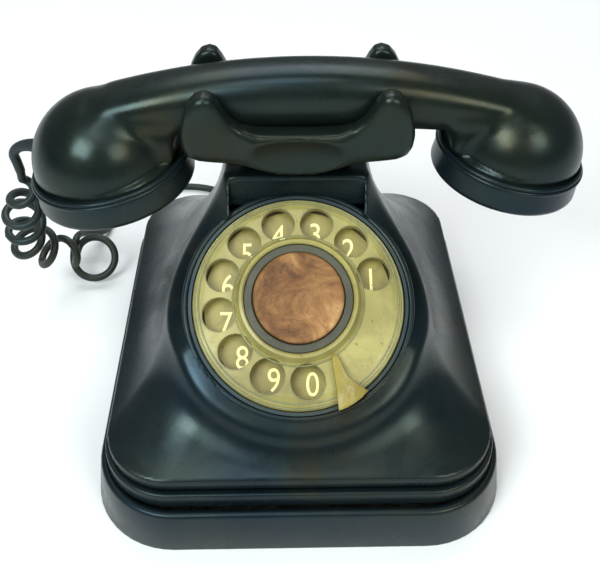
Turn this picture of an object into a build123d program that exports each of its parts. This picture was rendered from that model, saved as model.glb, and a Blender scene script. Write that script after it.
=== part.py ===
"""Rotary desk telephone: moulded two-piece body with a waisted neck, four-horned cradle,
dial with its clockwork, bell set, hook switch, one-piece handset and a curly handset cord.

Frame: origin at the centre of the body's bottom rim, +X to the right of a person at the dial,
+Y to the back, +Z up. All sizes are in millimetres.
"""
from math import cos, pi, radians, sin, tan

from build123d import *

import os

os.makedirs("parts", exist_ok=True)

# ---------------------------------------------------------------- driving dimensions
WALL = 3.0                      # moulded wall
RUNNING = 0.05                  # radial clearance of a running fit
GAP = 0.3                       # clearance between bodies that only come close

PLINTH_FOOT = (157.0, 182.6, 32.0)      # width, depth and corner radius at the bottom rim
PLINTH_TOP = (152.4, 182.0, 31.0)
MID_TIER = (147.6, 174.2, 27.0)
LIP_TIER = (145.0, 169.6, 25.0)
PLINTH_Z = 20.0                 # top of the plinth
MID_Z = 26.6                    # top of the middle tier
LIP_Z = 31.0                    # top of the lip

# the waisted body: height, half width, front y, back y, corner radius
BODY = (
    (LIP_Z, 72.5, -84.8, 84.8, 25.0),
    (38.0, 63.0, -73.0, 74.0, 24.0),
    (52.0, 51.0, -56.0, 58.0, 21.0),
    (68.0, 41.0, -39.0, 44.0, 17.0),
    (86.0, 33.0, -20.0, 32.0, 12.0),
    (104.0, 28.0, -3.0, 25.0, 8.0),
)
NECK_Z = BODY[-1][0]
NECK_Y = 11.0                   # centre of the neck, where the cradle's stem comes out

DIAL_CENTRE = Vector(0, -36.9, 73.0)    # centre of the ring of finger holes, on the wheel's face
DIAL_TILT = 55.3                # the dial's normal above the horizontal, in degrees
WHEEL_R = 40.0
HOLE_RING_R = 30.1
HOLE_R = 6.5
HOLE_PITCH = 28.6               # degrees from one finger hole to the next
FIRST_HOLE = 18.4               # the hole of digit 1, degrees from the dial's own +X
COLLAR_R = 46.0
RECESS_R = 41.8

CRADLE_Y = 7.0                  # centre line of the handset's rest
HORN_TOP = 148.0
SEAT_Z = 124.8                  # bottom of the handset's trough

GRIP_Z = 137.8                  # centre of the grip at its middle
GRIP_R = 12.7
MOUTH = Vector(-71.1, CRADLE_Y, 96.6)   # centre of the mouthpiece's lower face
EAR = Vector(82.1, CRADLE_Y, 99.5)      # centre of the earpiece's lower face
MOUTH_R, EAR_R = 31.6, 29.2
CAP_TILT = 9.6                  # each cap leans in by this much, in degrees
CAP_H = 12.8

CORD_D = 3.6
CURL_D = 12.5                   # outer diameter of the curly cord

normal = Vector(0, -cos(radians(DIAL_TILT)), sin(radians(DIAL_TILT)))


def dial_plane(height):
    """The dial's own plane, moved along its normal: x to the right, y up the face."""
    return Plane(origin=DIAL_CENTRE + normal * height, x_dir=(1, 0, 0), z_dir=normal)


def dial_point(x, y, height):
    return dial_plane(height).from_local_coords(Vector(x, y, 0))


def polar(radius, degrees):
    return (radius * cos(radians(degrees)), radius * sin(radians(degrees)))


def write(builder, name):
    builder.part.label = name
    export_step(builder.part, f"parts/{name}.step")


# ---------------------------------------------------------------- plinth and underside
def rounded(size, shrink=0.0):
    RectangleRounded(size[0] - 2 * shrink, size[1] - 2 * shrink, size[2] - shrink)


SCREW_AT = [(x, y) for x in (-48.0, 48.0) for y in (-60.0, 60.0)]
FOOT_AT = [(x, y) for x in (-60.0, 60.0) for y in (-66.0, 66.0)]
PLATE_Z = 3.0                   # the base plate's underside
PLATE_T = 1.2
FLOOR_Z = PLATE_Z + PLATE_T     # what stands on the base plate starts here
OUTLET = Vector(-18.0, 91.0, 11.0)      # where the handset cord enters the plinth
OUTLET_R = 4.2

with BuildPart() as plinth:
    with BuildSketch(Plane.XY):
        rounded(PLINTH_FOOT)
    with BuildSketch(Plane.XY.offset(PLINTH_Z)):
        rounded(PLINTH_TOP)
    loft()
    with BuildSketch(Plane.XY):
        rounded(LIP_TIER, WALL)
    extrude(amount=PLINTH_Z, mode=Mode.SUBTRACT)
    with BuildSketch(Plane.XY):                       # rebate that takes the base plate
        rounded(PLINTH_TOP, WALL)
    extrude(amount=FLOOR_Z, mode=Mode.SUBTRACT)
    with BuildSketch(Plane.XZ.offset(-OUTLET.Y - 5)):
        with Locations((OUTLET.X, OUTLET.Z)):
            Circle(OUTLET_R)
    extrude(amount=20, mode=Mode.SUBTRACT)
write(plinth, "plinth")

with BuildPart() as base_plate:
    with BuildSketch(Plane.XY.offset(PLATE_Z)):
        rounded(PLINTH_TOP, WALL + GAP)
        with Locations(*SCREW_AT):
            Circle(1.7, mode=Mode.SUBTRACT)
    extrude(amount=PLATE_T)
write(base_plate, "base_plate")

with BuildPart() as rubber_feet:
    with BuildSketch(Plane.XY):
        with Locations(*FOOT_AT):
            Circle(6.0)
    extrude(amount=PLATE_Z, taper=-4)
write(rubber_feet, "rubber_feet")

# ---------------------------------------------------------------- body shell
def body_section(z, half_width, front, back, corner, shrink=0.0):
    with BuildSketch(Plane.XY.offset(z)) as section:
        with Locations((0, (front + back) / 2)):
            depth = back - front - 2 * shrink
            RectangleRounded(2 * (half_width - shrink), depth, max(corner - shrink, 1.5))
    return section.sketch


POST_TOP = 40.5                 # the moulded screw posts run up into the shell
POST_R = 4.5
SCREW_R = 1.25
HEAD_Z = 0.9                    # underside of the base screws' heads
PANEL_W = 53.0                  # stepped panel between the neck's edges
PANEL_Y, PANEL_LOW = -2.6, 92.0
BUSHING_R = 7.0
UPRIGHT = (Align.CENTER, Align.CENTER, Align.MIN)

# the dial's layers, as heights along its normal above the wheel's face
SEAT_T = -8.0                   # ledge in the body that the dial sits on
BASE_T = 1.6                    # thickness of the dial's base disc
NUMBERS_T = SEAT_T + BASE_T     # underside of the number plate
BRIDGE_T = -26.0                # front of the rear bearing plate
GEAR_T = -15.0                  # underside of the main gear
WORM_T = -19.0                  # centre of the governor's shaft
DIAL_BORE_R = 38.6
SHAFT_R = 2.5
LAYSHAFT_R = 1.5
LAYSHAFT_AT = (-11.3, -19.57)   # dial coordinates of the pinion's shaft
PILLAR_AT = [(-21.0, 12.0), (21.0, 12.0), (19.5, -15.0)]
GOVERNOR_Y = LAYSHAFT_AT[1] - 8.2
HUB_T = 1.2                     # seat of the label in the wheel

MODULE = 0.9
MAIN_TEETH, PINION_TEETH, WORM_TEETH = 40, 10, 20
PINION_TURN = 30.0              # turns the pinion so that a gap of it faces a tooth of the gear

with BuildPart() as housing:
    with BuildSketch(Plane.XY.offset(PLINTH_Z)):
        rounded(MID_TIER)
    extrude(amount=MID_Z - PLINTH_Z)
    with BuildSketch(Plane.XY.offset(MID_Z)):
        rounded(LIP_TIER)
    extrude(amount=LIP_Z - MID_Z)
    loft(sections=[body_section(*section) for section in BODY])
    with BuildSketch(dial_plane(-22)):                # collar that carries the dial
        Circle(COLLAR_R - 1)
    extrude(amount=20.0, taper=-2)
    hollow = [body_section(*section, shrink=WALL) for section in BODY[:-1]]
    hollow.append(body_section(NECK_Z - WALL, *BODY[-1][1:], shrink=WALL))
    loft(sections=hollow, mode=Mode.SUBTRACT)
    with BuildSketch(Plane.XY.offset(PLINTH_Z)):
        rounded(LIP_TIER, WALL)
    extrude(amount=LIP_Z - PLINTH_Z, mode=Mode.SUBTRACT)
    with BuildSketch(Plane.YZ.offset(-PANEL_W / 2)):  # wall behind the stepped panel
        with Locations((0.5, (PANEL_LOW + NECK_Z) / 2)):
            Rectangle(7.0, NECK_Z - PANEL_LOW)
    extrude(amount=PANEL_W)
    with BuildSketch(Plane.YZ.offset(-PANEL_W / 2)):  # stepped panel over the dial
        with BuildLine():
            Polyline((-30, PANEL_LOW), (PANEL_Y, PANEL_LOW), (PANEL_Y, 98.0), (PANEL_Y + 0.4, 98.5))
            ThreePointArc((PANEL_Y + 0.4, 98.5), (-1.2, 99.3), (-0.6, 101.2))
            Polyline((-0.6, 101.2), (-0.6, NECK_Z + 1), (-30, NECK_Z + 1), (-30, PANEL_LOW))
        make_face()
    extrude(amount=PANEL_W, mode=Mode.SUBTRACT)
    with BuildSketch(dial_plane(SEAT_T)):             # seat of the dial, open to the front
        Circle(RECESS_R)
    extrude(amount=40.0, mode=Mode.SUBTRACT)
    with BuildSketch(dial_plane(-45)):
        Circle(DIAL_BORE_R)
    extrude(amount=45.0, mode=Mode.SUBTRACT)
    with BuildSketch(Plane.XY.offset(NECK_Z - WALL - 1)):         # hole for the stem's bushing
        with Locations((0, NECK_Y)):
            Circle(BUSHING_R)
    extrude(amount=WALL + 2, mode=Mode.SUBTRACT)
    with Locations(*[(x, y, FLOOR_Z) for x, y in SCREW_AT]):      # moulded screw posts
        Cylinder(POST_R, POST_TOP - FLOOR_Z, align=UPRIGHT)
    with Locations(*[(x, y, FLOOR_Z) for x, y in SCREW_AT]):
        Cylinder(SCREW_R, 14.0, align=UPRIGHT, mode=Mode.SUBTRACT)
write(housing, "housing")

with BuildPart() as base_screws:
    with Locations(*[(x, y, HEAD_Z) for x, y in SCREW_AT]):
        Cylinder(3.0, PLATE_Z - HEAD_Z, align=UPRIGHT)
    with Locations(*[(x, y, PLATE_Z) for x, y in SCREW_AT]):
        Cylinder(SCREW_R, 12.0, align=UPRIGHT)
    with Locations(*[(x, y, HEAD_Z) for x, y in SCREW_AT]):
        Box(7.0, 0.8, 0.8, align=UPRIGHT, mode=Mode.SUBTRACT)
write(base_screws, "base_screws")

# ---------------------------------------------------------------- dial: fixed parts
with BuildPart() as dial_base:                        # disc with the front bearings and pillars
    with BuildSketch(dial_plane(SEAT_T)):
        Circle(RECESS_R - GAP)
    extrude(amount=BASE_T)
    with BuildSketch(dial_plane(SEAT_T)):
        Circle(5.0)
    extrude(amount=-3.5)
    with BuildSketch(dial_plane(SEAT_T)):
        with Locations(*PILLAR_AT):
            Circle(2.2)
    extrude(amount=BRIDGE_T - SEAT_T)
    with BuildSketch(dial_plane(SEAT_T - 4)):
        Circle(SHAFT_R + RUNNING)
        with Locations(LAYSHAFT_AT):
            Circle(LAYSHAFT_R + RUNNING)
    extrude(amount=6, mode=Mode.SUBTRACT)
write(dial_base, "dial_base")

with BuildPart() as dial_bridge:                      # rear bearing plate of the clockwork
    with BuildSketch(dial_plane(BRIDGE_T)):
        with BuildLine():
            Polyline((-26, 17), (26, 17), (25, -20), (-18, -26), (-26, 17))
        make_face()
        Circle(SHAFT_R + RUNNING, mode=Mode.SUBTRACT)
        with Locations(LAYSHAFT_AT):
            Circle(LAYSHAFT_R + RUNNING, mode=Mode.SUBTRACT)
    extrude(amount=-1.6)
write(dial_bridge, "dial_bridge")

with BuildPart() as number_plate:
    with BuildSketch(dial_plane(NUMBERS_T)):
        Circle(35.9)
        Circle(5.5, mode=Mode.SUBTRACT)
    extrude(amount=1.0)
write(number_plate, "number_plate")

with BuildPart() as dial_bezel:
    with BuildSketch(dial_plane(NUMBERS_T)):
        Circle(RECESS_R - 0.1)
        Circle(40.5, mode=Mode.SUBTRACT)
    extrude(amount=3.8)
write(dial_bezel, "dial_bezel")
BEZEL_TOP = NUMBERS_T + 3.8

with BuildPart() as finger_stop:                      # hooked blade screwed to the bezel
    with BuildSketch(dial_plane(1.4)):
        with BuildLine():
            Polyline((24.6, -33.6), (18.4, -29.2), (15.4, -24.8), (13.6, -20.8), (11.8, -21.6))
            Spline((11.8, -21.6), (12.7, -30.0), (13.8, -40.3))
            ThreePointArc((13.8, -40.3), (19.6, -37.8), (24.6, -33.6))
        make_face()
    extrude(amount=1.4)
    with BuildSketch(dial_plane(BEZEL_TOP)):
        with BuildLine():
            Line(polar(40.6, -69), polar(41.6, -69))
            ThreePointArc(polar(41.6, -69), polar(41.6, -62), polar(41.6, -55))
            Line(polar(41.6, -55), polar(40.6, -55))
            ThreePointArc(polar(40.6, -55), polar(40.6, -62), polar(40.6, -69))
        make_face()
    extrude(amount=2.8 - BEZEL_TOP)
write(finger_stop, "finger_stop")

# ---------------------------------------------------------------- dial: moving parts
def wheel_profile():
    """Half section of the finger wheel as (radius, height), from the bore round and back."""
    return [
        (SHAFT_R, -3.4), (SHAFT_R, HUB_T), (20.6, HUB_T), (20.6, 4.6), (21.2, 5.2), (22.2, 5.0),
        (23.6, 1.6), (25.0, 0.6), (35.5, 0.0), (38.6, -1.0), (WHEEL_R, -2.8), (WHEEL_R, -5.0),
        (38.6, -5.0), (38.2, -3.4), (SHAFT_R, -3.4),
    ]


radial_plane = Plane(origin=DIAL_CENTRE, x_dir=(1, 0, 0), z_dir=normal.cross(Vector(1, 0, 0)) * -1)
dial_axis = Axis(DIAL_CENTRE, normal)

with BuildPart() as finger_wheel:
    with BuildSketch(radial_plane):
        with BuildLine():
            Polyline(*wheel_profile())
        make_face()
    revolve(axis=dial_axis)
    with BuildSketch(dial_plane(-6)):
        for digit in range(10):
            with Locations(polar(HOLE_RING_R, FIRST_HOLE + digit * HOLE_PITCH)):
                Circle(HOLE_R)
    extrude(amount=8, mode=Mode.SUBTRACT)
write(finger_wheel, "finger_wheel")

with BuildPart() as centre_ring:
    with BuildSketch(dial_plane(HUB_T)):
        Circle(20.5)
        Circle(17.2, mode=Mode.SUBTRACT)
    extrude(amount=3.2)
    fillet(centre_ring.edges().group_by(Axis(DIAL_CENTRE, normal))[-1], 0.6)
write(centre_ring, "centre_ring")

with BuildPart() as centre_label:
    with BuildSketch(dial_plane(HUB_T)):
        Circle(17.0)
    extrude(amount=5.2)
    fillet(centre_label.edges().group_by(Axis(DIAL_CENTRE, normal))[-1], 1.2)
write(centre_label, "centre_label")

with BuildPart() as dial_shaft:
    with BuildSketch(dial_plane(-29)):
        Circle(SHAFT_R)
    extrude(amount=29 + HUB_T)
write(dial_shaft, "dial_shaft")


def gear_outline(teeth, module, centre=(0.0, 0.0), turn=0.0):
    """Straight-flanked teeth, thinner than the gaps between them, as one closed outline."""
    pitch = 360 / teeth
    root, tip = module * (teeth / 2 - 1.0), module * (teeth / 2 + 0.7)
    points = []
    for tooth in range(teeth):
        for radius, share in ((root, -0.22), (tip, -0.09), (tip, 0.09), (root, 0.22)):
            x, y = polar(radius, (tooth + share) * pitch + turn)
            points.append((x + centre[0], y + centre[1]))
    return points + points[:1]


with BuildPart() as main_gear:
    with BuildSketch(dial_plane(GEAR_T)):
        with BuildLine():
            Polyline(*gear_outline(MAIN_TEETH, MODULE))
        make_face()
        with PolarLocations(10.5, 4):
            Circle(3.6, mode=Mode.SUBTRACT)
    extrude(amount=2.0)
    with BuildSketch(dial_plane(GEAR_T - 2)):
        Circle(5.0)
    extrude(amount=2.0)
    with BuildSketch(dial_plane(GEAR_T - 3)):
        Circle(SHAFT_R)
    extrude(amount=8, mode=Mode.SUBTRACT)
write(main_gear, "main_gear")

with BuildPart() as layshaft:                         # pinion's shaft with the pulse cam
    with BuildSketch(dial_plane(-28)):
        with Locations(LAYSHAFT_AT):
            Circle(LAYSHAFT_R)
    extrude(amount=21.4)
    with BuildSketch(dial_plane(-11.6)):
        with Locations(LAYSHAFT_AT):
            Ellipse(4.2, 2.9)
    extrude(amount=1.4)
write(layshaft, "layshaft")

with BuildPart() as pinion:
    with BuildSketch(dial_plane(GEAR_T - 0.4)):
        with BuildLine():
            Polyline(*gear_outline(PINION_TEETH, MODULE, LAYSHAFT_AT, PINION_TURN))
        make_face()
        with Locations(LAYSHAFT_AT):
            Circle(LAYSHAFT_R, mode=Mode.SUBTRACT)
    extrude(amount=2.8)
write(pinion, "pinion")

with BuildPart() as worm_wheel:
    with BuildSketch(dial_plane(WORM_T - 1)):
        with BuildLine():
            Polyline(*gear_outline(WORM_TEETH, 0.56, LAYSHAFT_AT))
        make_face()
        with Locations(LAYSHAFT_AT):
            Circle(LAYSHAFT_R, mode=Mode.SUBTRACT)
    extrude(amount=2.0)
write(worm_wheel, "worm_wheel")


def governor_plane(x):
    return Plane(origin=dial_point(x, GOVERNOR_Y, WORM_T), x_dir=normal, z_dir=(1, 0, 0))


with BuildPart() as governor_shaft:
    with BuildSketch(governor_plane(-20.0)):
        Circle(1.0)
    extrude(amount=38.0)
    with BuildSketch(governor_plane(-16.0)):
        Circle(2.0)
    extrude(amount=9.5)
    for groove in range(8):
        with BuildSketch(governor_plane(-15.3 + 1.1 * groove)):
            Circle(2.1)
            Circle(1.5, mode=Mode.SUBTRACT)
        extrude(amount=0.5, mode=Mode.SUBTRACT)
write(governor_shaft, "governor_shaft")

with BuildPart() as governor_weights:                 # two brake weights on their spring arms
    with BuildSketch(governor_plane(5.5)):
        Rectangle(11.6, 5.0)
        Rectangle(8.0, 6.0, mode=Mode.SUBTRACT)
    extrude(amount=6.0)
    with BuildSketch(governor_plane(4.5)):
        Rectangle(11.6, 3.0)
        Circle(2.4)
        Circle(1.0, mode=Mode.SUBTRACT)
    extrude(amount=1.0)
write(governor_weights, "governor_weights")

with BuildPart() as governor_cup:
    with BuildSketch(governor_plane(4.0)):
        Circle(7.4)
        Circle(6.6, mode=Mode.SUBTRACT)
    extrude(amount=9.0)
    with BuildSketch(governor_plane(13.0)):
        Circle(7.4)
        Circle(1.4, mode=Mode.SUBTRACT)
    extrude(amount=1.0)
write(governor_cup, "governor_cup")

with BuildPart() as governor_bracket:                 # two bearings standing on the dial's base
    for x, width in ((-19.0, 2.0), (14.0, 2.0)):
        with BuildSketch(governor_plane(x)):
            with Locations(((SEAT_T - WORM_T - 3) / 2, 0)):
                Rectangle(SEAT_T - WORM_T + 3, 5.0)
            Circle(1.0 + RUNNING, mode=Mode.SUBTRACT)
        extrude(amount=width)
write(governor_bracket, "governor_bracket")

with BuildPart() as pulse_contacts:                   # pair of leaf springs beside the cam
    with BuildSketch(dial_plane(-12.0)):
        for x in (-16.3, -17.6):
            with Locations((x, -16.0)):
                Rectangle(0.35, 16.0)
    extrude(amount=2.2)
    with BuildSketch(dial_plane(-12.4)):
        with Locations((-17.0, -7.5)):
            Rectangle(5.0, 6.0)
    extrude(amount=4.4)
write(pulse_contacts, "pulse_contacts")

with BuildPart() as return_spring:                    # spiral spring round the main shaft
    with BuildSketch(dial_plane(-24.0)):
        with BuildLine():
            for half_turn in range(8):
                radius = 4.0 + 1.3 * half_turn
                side = 0.0 if half_turn % 2 == 0 else -1.3
                CenterArc((side, 0), radius, 180 * (half_turn % 2), 180)
        trace(line_width=0.5)
    extrude(amount=5.0)
write(return_spring, "return_spring")

# ---------------------------------------------------------------- cradle and hook switch
REST_GAP = 1.2                  # the cradle's boss over the neck when it is pressed down
STEM_R = 3.5
STEM_LOW = 58.0
COLLAR_Z = 84.0                 # underside of the stem's collar
SHELF_Z = 64.4
TROUGH_R = 14.0
HORN_X = 33.5
FRONT_Y, BACK_Y = -16.5, 30.5

with BuildPart() as cradle:
    with BuildSketch(Plane.XZ.offset(-BACK_Y)) as outline:
        with BuildLine():
            Polyline((0, 116.0), (26.0, 116.4), (37.0, 119.4))
            ThreePointArc((37.0, 119.4), (42.2, 126.0), (42.6, 134.0))
            Line((42.6, 134.0), (40.0, 142.5))
            ThreePointArc((40.0, 142.5), (HORN_X, HORN_TOP), (28.6, 143.5))
            Spline((28.6, 143.5), (24.0, 136.0), (17.5, 131.2), (0, 130.6))
            Line((0, 130.6), (0, 116.0))
        make_face()
        mirror(about=Plane.YZ)
    extrude(amount=BACK_Y - FRONT_Y)
    trough = Plane(origin=(-60, CRADLE_Y, GRIP_Z), x_dir=(0, 1, 0), z_dir=(1, 0, 0))
    with BuildSketch(trough):                         # trough that the grip lies in
        Circle(TROUGH_R)
        with Locations((0, 20)):
            Rectangle(2 * TROUGH_R, 40)
    extrude(amount=120, mode=Mode.SUBTRACT)
    with BuildSketch(Plane.XY.offset(NECK_Z + REST_GAP)):         # boss over the neck
        with Locations((0, NECK_Y)):
            RectangleRounded(46, 24, 6)
    extrude(amount=15)
    with Locations((0, FRONT_Y - 57.3, 122)):         # dished front between the horns
        Sphere(60, mode=Mode.SUBTRACT)
    with BuildSketch(Plane.XY.offset(NECK_Z)):
        with Locations((0, NECK_Y)):
            Circle(STEM_R)
    extrude(amount=13, mode=Mode.SUBTRACT)
write(cradle, "cradle")

with BuildPart() as cradle_stem:
    with Locations((0, NECK_Y, STEM_LOW)):
        Cylinder(STEM_R, NECK_Z + 13 - STEM_LOW, align=UPRIGHT)
    with Locations((0, NECK_Y, COLLAR_Z)):
        Cylinder(6.2, 2.0, align=UPRIGHT)
write(cradle_stem, "cradle_stem")

with BuildPart() as neck_bushing:
    with BuildSketch(Plane.XY.offset(NECK_Z - WALL - 2)):
        with Locations((0, NECK_Y)):
            Circle(BUSHING_R)
    extrude(amount=WALL + 2)
    with BuildSketch(Plane.XY.offset(NECK_Z)):
        with Locations((0, NECK_Y)):
            Circle(BUSHING_R + 2)
    extrude(amount=0.7)
    with BuildSketch(Plane.XY.offset(NECK_Z - WALL - 3)):
        with Locations((0, NECK_Y)):
            Circle(STEM_R + RUNNING)
    extrude(amount=WALL + 5, mode=Mode.SUBTRACT)
write(neck_bushing, "neck_bushing")

SPRING_LOW = SHELF_Z + 1.6
with BuildPart() as cradle_spring:
    coil = Helix(pitch=3.2, height=COLLAR_Z - SPRING_LOW - 2.4, radius=5.2, center=(0, NECK_Y, SPRING_LOW + 1.2))
    with BuildSketch(Plane(origin=coil @ 0, z_dir=coil % 0)):
        Circle(0.55)
    sweep(path=coil)
    for z in (SPRING_LOW, COLLAR_Z - 0.8):            # closed end turns
        with BuildSketch(Plane.XY.offset(z)):
            with Locations((0, NECK_Y)):
                Circle(5.8)
                Circle(4.6, mode=Mode.SUBTRACT)
        extrude(amount=0.8)
write(cradle_spring, "cradle_spring")

LEVER_Z = 54.0
LEVER_ARM = 20.0
PIN_R = 1.5
UPRIGHT_Y = 22.0                # front of the bracket's upright plate
with BuildPart() as hook_bracket:
    with BuildSketch(Plane.XY.offset(SHELF_Z)):
        with Locations((0, (UPRIGHT_Y + 4) / 2)):
            Rectangle(26, UPRIGHT_Y - 4)
        with Locations((0, NECK_Y)):
            Circle(STEM_R + 0.4, mode=Mode.SUBTRACT)
    extrude(amount=1.6)
    with BuildSketch(Plane.XY.offset(FLOOR_Z)):
        with Locations((-10, UPRIGHT_Y + 0.8)):
            Rectangle(46, 1.6)
    extrude(amount=SHELF_Z + 1.6 - FLOOR_Z)
    with BuildSketch(Plane.XY.offset(FLOOR_Z)):
        with Locations((-10, UPRIGHT_Y - 5)):
            Rectangle(46, 10)
    extrude(amount=1.6)
    with BuildSketch(Plane.XZ.offset(-UPRIGHT_Y)):    # pivot boss on the upright plate
        with Locations((-LEVER_ARM, LEVER_Z)):
            Circle(4.0)
    extrude(amount=6.0)
    with BuildSketch(Plane.XZ.offset(-UPRIGHT_Y - 3)):
        with Locations((-LEVER_ARM, LEVER_Z)):
            Circle(PIN_R)
    extrude(amount=14.0, mode=Mode.SUBTRACT)
write(hook_bracket, "hook_bracket")

with BuildPart() as lever_pin:
    with BuildSketch(Plane.XZ.offset(-UPRIGHT_Y - 1.6)):
        with Locations((-LEVER_ARM, LEVER_Z)):
            Circle(PIN_R)
    extrude(amount=18.0)
write(lever_pin, "lever_pin")

with BuildPart() as hook_lever:
    with BuildSketch(Plane.XZ.offset(-NECK_Y - 4)):
        with Locations((-LEVER_ARM, LEVER_Z)):
            Circle(4.0)
        with BuildLine():
            Polyline((-36, 52), (3, 53), (3, 55.2), (-36, 55.2), (-36, 52))
        make_face()
        with Locations((0, 55.8)):
            Circle(STEM_LOW - GAP - 55.8)
        with Locations((-LEVER_ARM, LEVER_Z)):
            Circle(PIN_R + RUNNING, mode=Mode.SUBTRACT)
    extrude(amount=8.0)
write(hook_lever, "hook_lever")

with BuildPart() as hook_contacts:                    # pile of leaf springs under the lever's tail
    with BuildSketch(Plane.XY.offset(FLOOR_Z + 1.6)):
        with Locations((-31.0, 17.0)):
            Rectangle(4, 8)
    extrude(amount=42)
    for z in (38.0, 41.5, 45.0):
        with BuildSketch(Plane.XY.offset(z)):
            with Locations((-35.0, 13.5)):
                Rectangle(3.0, 14.0)
        extrude(amount=0.4)
write(hook_contacts, "hook_contacts")

# ---------------------------------------------------------------- bell set
GONG_AT = (24.7, 47.0)
GONG_R = 20.0
GONG_Z = 21.5                   # rim
GONG_TOP = 34.6
GONG_T = 1.4
POLE_X = 11.0
ARMATURE_Y = 61.5
for side, name in ((-1, "gong_left"), (1, "gong_right")):
    with BuildPart() as gong:
        with BuildSketch(Plane.XZ.offset(-GONG_AT[1])):
            with BuildLine():
                Polyline((2.2, GONG_TOP), (8, GONG_TOP))
                ThreePointArc((8, GONG_TOP), (GONG_R - 4, 31.8), (GONG_R, 27.0))
                Line((GONG_R, 27.0), (GONG_R, GONG_Z))
                Line((GONG_R, GONG_Z), (GONG_R - GONG_T, GONG_Z))
                Line((GONG_R - GONG_T, GONG_Z), (GONG_R - GONG_T, 26.6))
                ThreePointArc((GONG_R - GONG_T, 26.6), (GONG_R - 5, 30.8), (8, GONG_TOP - GONG_T))
                Polyline((8, GONG_TOP - GONG_T), (2.2, GONG_TOP - GONG_T), (2.2, GONG_TOP))
            make_face()
        revolve(axis=Axis((0, GONG_AT[1], 0), (0, 0, 1)))
    gong.part.locate(Location((side * GONG_AT[0], 0, 0)))
    write(gong, name)

with BuildPart() as gong_posts:
    with Locations(*[(side * GONG_AT[0], GONG_AT[1], FLOOR_Z) for side in (-1, 1)]):
        Cylinder(3.4, GONG_TOP - GONG_T - FLOOR_Z, align=UPRIGHT)
    with Locations(*[(side * GONG_AT[0], GONG_AT[1], GONG_TOP - GONG_T) for side in (-1, 1)]):
        Cylinder(2.1, GONG_T, align=UPRIGHT)
write(gong_posts, "gong_posts")

with BuildPart() as gong_screws:
    with Locations(*[(side * GONG_AT[0], GONG_AT[1], GONG_TOP) for side in (-1, 1)]):
        Cylinder(4.0, 2.0, align=UPRIGHT)
    with Locations(*[(side * GONG_AT[0], GONG_AT[1], 35.9) for side in (-1, 1)]):
        Box(9, 0.8, 0.8, align=UPRIGHT, mode=Mode.SUBTRACT)
write(gong_screws, "gong_screws")

with BuildPart() as ringer_coils:
    for x in (-POLE_X, POLE_X):
        with BuildSketch(Plane.XZ.offset(-32.5)):
            with Locations((x, 12.5)):
                Circle(7.4)
                Circle(2.5, mode=Mode.SUBTRACT)
        extrude(amount=-24.0)
write(ringer_coils, "ringer_coils")

with BuildPart() as ringer_frame:                     # yoke, the two poles and the armature's post
    with BuildSketch(Plane.XZ.offset(-30.5)):
        with Locations((0, (FLOOR_Z + 20) / 2)):
            Rectangle(38, 20 - FLOOR_Z)
    extrude(amount=-2.0)
    with BuildSketch(Plane.XZ.offset(-32.5)):
        with Locations((-POLE_X, 12.5), (POLE_X, 12.5)):
            Circle(2.5)
    extrude(amount=-25.5)
    with BuildSketch(Plane.XY.offset(FLOOR_Z)):
        with Locations((0, 47.8)):
            Rectangle(12, 34.6)
    extrude(amount=0.8)
    with Locations((0, ARMATURE_Y, FLOOR_Z + 0.8)):
        Cylinder(1.2, 15, align=UPRIGHT)
    with Locations((0, ARMATURE_Y, FLOOR_Z + 0.8)):
        Cylinder(2.6, 2.4, align=UPRIGHT)
write(ringer_frame, "ringer_frame")

with BuildPart() as bell_hammer:                      # armature with the hammer's rod and ball
    with BuildSketch(Plane.XY.offset(8.4)):
        with Locations((0, ARMATURE_Y)):
            Rectangle(32, 3.2)
            Circle(3.6)
            Circle(1.2 + RUNNING, mode=Mode.SUBTRACT)
    extrude(amount=8.0)
    with BuildSketch(Plane.XY.offset(16.4)):
        with Locations((0, ARMATURE_Y + 2.4)):
            Rectangle(2.4, 2.0)
    extrude(amount=9.6)
    with BuildSketch(Plane.XZ.offset(-ARMATURE_Y - 3.4)):
        with Locations((0, 25.0)):
            Circle(1.0)
    extrude(amount=17.0)
    with Locations((0, GONG_AT[1], 25.0)):
        Sphere(2.8)
write(bell_hammer, "bell_hammer")

# ---------------------------------------------------------------- speech circuit
with BuildPart() as induction_coil:
    with BuildSketch(Plane.YZ.offset(-40.0)):
        with Locations((-56.0, 15.0)):
            Circle(8.4)
    extrude(amount=34.0)
    for x in (-41.5, -6.0):
        with BuildSketch(Plane.YZ.offset(x)):
            with Locations((-56.0, (FLOOR_Z + 24.4) / 2)):
                Rectangle(19.0, 24.4 - FLOOR_Z)
        extrude(amount=1.5)
write(induction_coil, "induction_coil")

with BuildPart() as capacitor:
    with BuildSketch(Plane.XY.offset(FLOOR_Z)):
        with Locations((22.0, -47.0)):
            RectangleRounded(40, 18, 1.5)
    extrude(amount=18.0)
    with BuildSketch(Plane.XY.offset(FLOOR_Z + 18.0)):
        with Locations((12.0, -47.0), (32.0, -47.0)):
            Circle(1.6)
    extrude(amount=2.0)
write(capacitor, "capacitor")

TERMINAL_AT = [(x, y) for x in (-22, -11, 0, 11, 22) for y in (-5.0, 3.0)]
with BuildPart() as terminal_block:
    with BuildSketch(Plane.XY.offset(FLOOR_Z)):
        with Locations((0, -1.0)):
            RectangleRounded(56, 18, 2)
    extrude(amount=7.0)
    with Locations(*[(x, y, FLOOR_Z + 3.0) for x, y in TERMINAL_AT]):
        Cylinder(1.2, 4.0, align=UPRIGHT, mode=Mode.SUBTRACT)
write(terminal_block, "terminal_block")

with BuildPart() as terminal_screws:
    with Locations(*[(x, y, FLOOR_Z + 3.0) for x, y in TERMINAL_AT]):
        Cylinder(1.2, 4.0, align=UPRIGHT)
    with Locations(*[(x, y, FLOOR_Z + 7.0) for x, y in TERMINAL_AT]):
        Cylinder(2.3, 1.5, align=UPRIGHT)
write(terminal_screws, "terminal_screws")

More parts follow.
